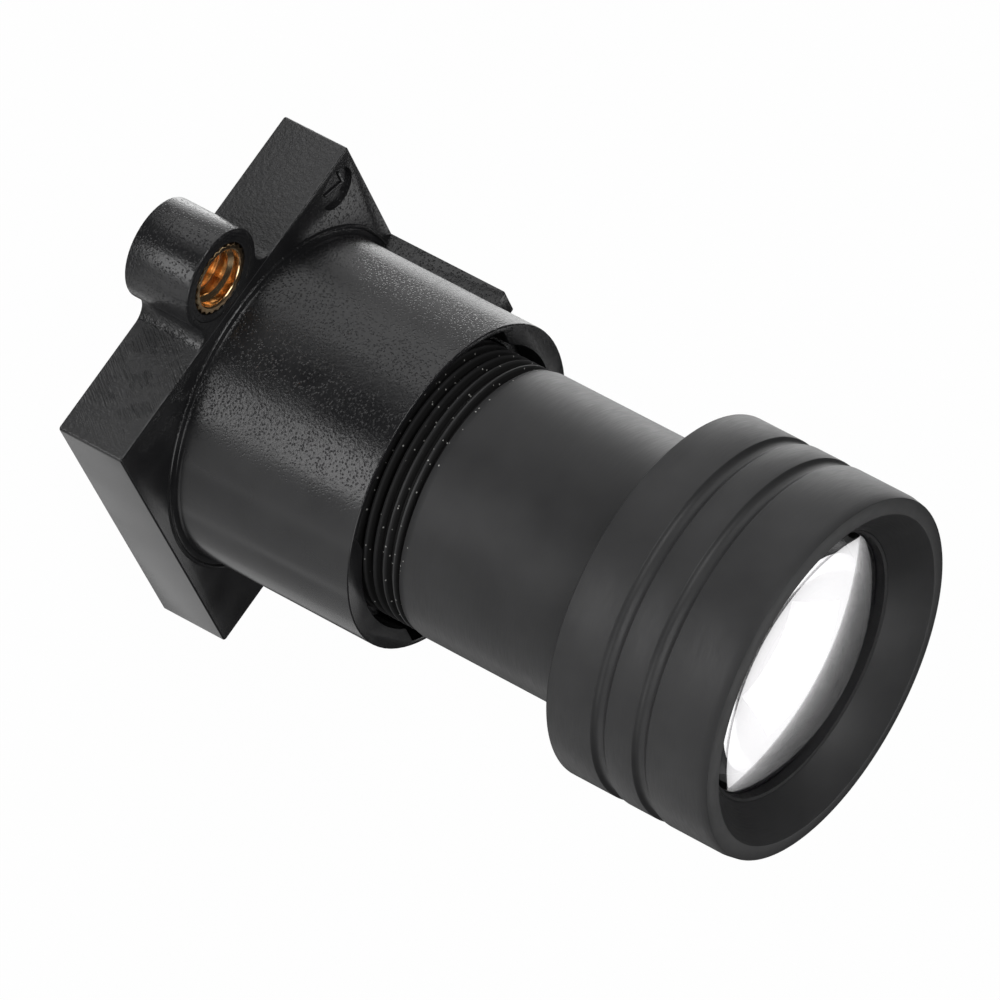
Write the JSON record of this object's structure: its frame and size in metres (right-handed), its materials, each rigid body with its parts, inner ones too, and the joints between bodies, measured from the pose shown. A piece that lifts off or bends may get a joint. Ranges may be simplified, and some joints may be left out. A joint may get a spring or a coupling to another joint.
{
  "type": "security camera lens",
  "caption": "Long-barrel board lens screwed into a square moulded holder with brass-insert bosses; domed front glass in a hood cone; fine focus thread.",
  "frame": {"origin": "centre of the mounting face, which is the back of the plate and its two bosses, on the optical axis", "axes": "+Z along the optical axis towards the front glass, +X towards the side with the key rib, the two bosses on +Y and -Y"},
  "size_m": [0.0164, 0.025, 0.0309],
  "materials": {
    "black_moulding": "black moulded plastic with a fine grain and a soft gloss",
    "black_anodised": "turned aluminium, matt black anodised",
    "brass": "turned brass with straight knurling",
    "coated_glass": "clear optical glass with a thin violet anti-reflection coating",
    "spacer_black": "blackened aluminium, dull"
  },
  "bodies": {
    "mount": {"holder": "black_moulding", "brass_insert_front_y": "brass", "brass_insert_back_y": "brass"},
    "glass_stack": {"front_lens": "coated_glass", "crown_lens": "coated_glass", "flint_lens": "coated_glass", "field_lens": "coated_glass", "rear_flint_lens": "coated_glass", "rear_crown_lens": "coated_glass", "tail_lens": "coated_glass", "front_spacer": "spacer_black", "stop_spacer": "spacer_black", "aperture_stop": "spacer_black", "middle_spacer": "spacer_black", "rear_spacer": "spacer_black", "tail_spacer": "spacer_black"},
    "screw_barrel": {"lens_barrel": "black_anodised", "front_ring": "spacer_black", "rear_ring": "spacer_black"}
  },
  "joints": [
    {"name": "focus_travel", "type": "slide", "parent": "mount", "child": "glass_stack", "axis": [0, 0, 1], "range_m": [-0.0025, 0.002]},
    {"name": "focus_turn", "type": "hinge", "parent": "glass_stack", "child": "screw_barrel", "pos_m": [0, 0, 0.02], "axis": [0, 0, 1], "range_deg": [-1800, 1440]}
  ],
  "couplings": [
    {"joint": "focus_travel", "follows": "focus_turn", "m_per_rad": 0.00007957}
  ]
}
